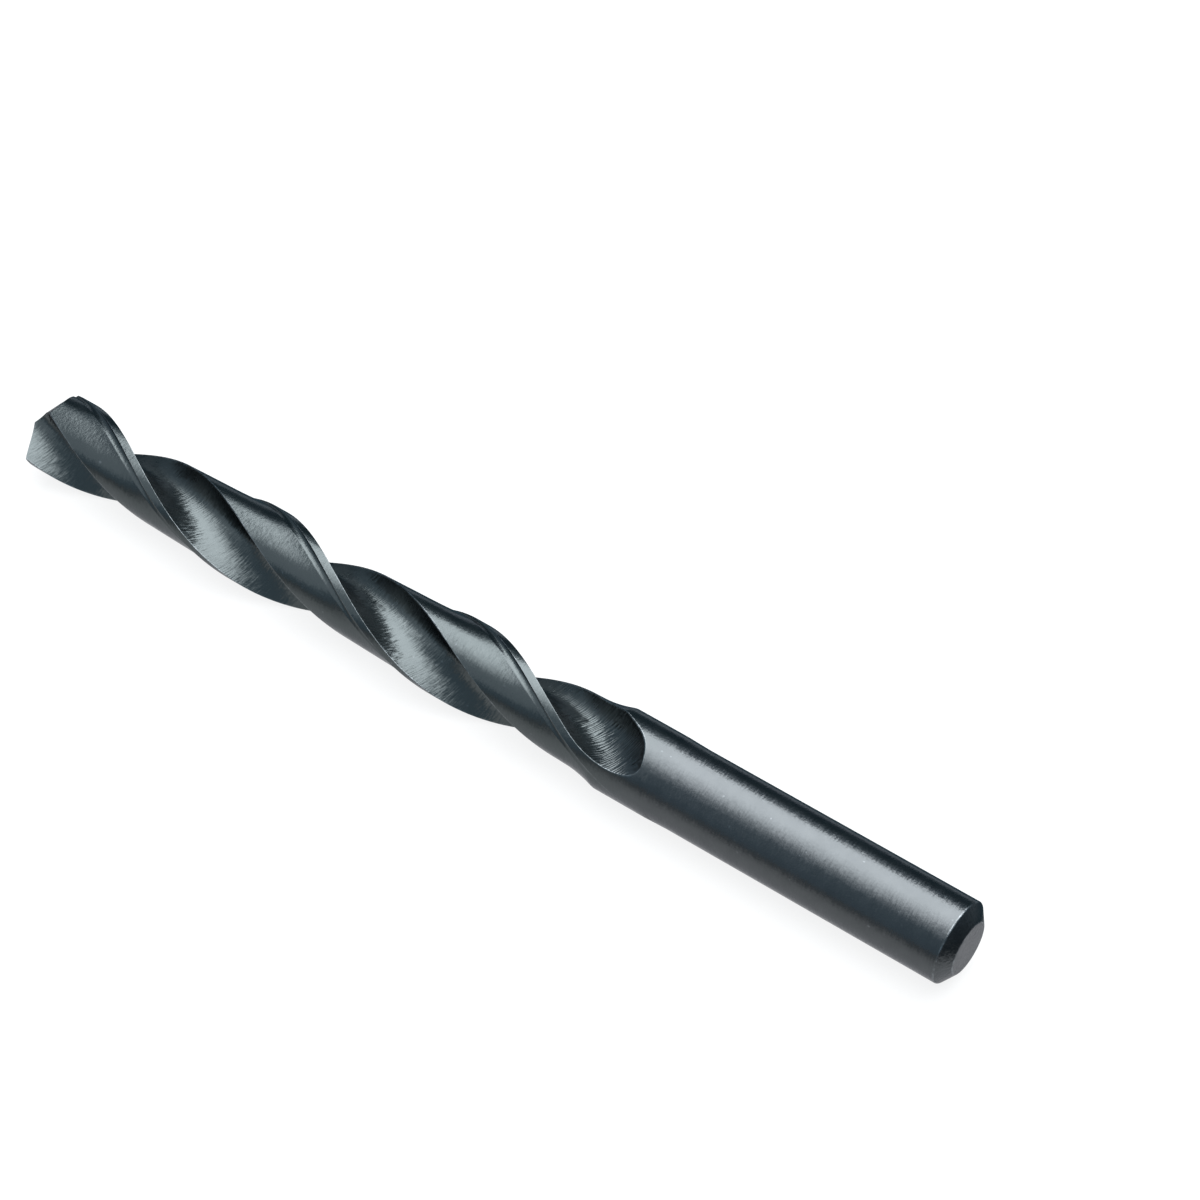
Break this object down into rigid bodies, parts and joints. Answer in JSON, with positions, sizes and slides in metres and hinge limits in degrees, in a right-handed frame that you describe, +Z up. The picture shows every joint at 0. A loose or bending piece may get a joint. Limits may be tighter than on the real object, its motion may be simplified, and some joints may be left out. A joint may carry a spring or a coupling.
{
  "type": "twist drill bit",
  "caption": "Right-hand twist drill bit with helical flutes, margins, a chisel point and a plain chamfered shank, lying on its side.",
  "frame": {"origin": "on the surface that the drill lies on, under the middle of its length", "axes": "+X along the drill from its shank end to its point, +Z up, +Y to its left as seen from the shank end"},
  "size_m": [0.133, 0.0102, 0.0102],
  "materials": {
    "tool_steel": "ground high-speed steel with a steam-tempered black oxide skin"
  },
  "bodies": {
    "root": {"twist_drill": "tool_steel"}
  },
  "joints": []
}
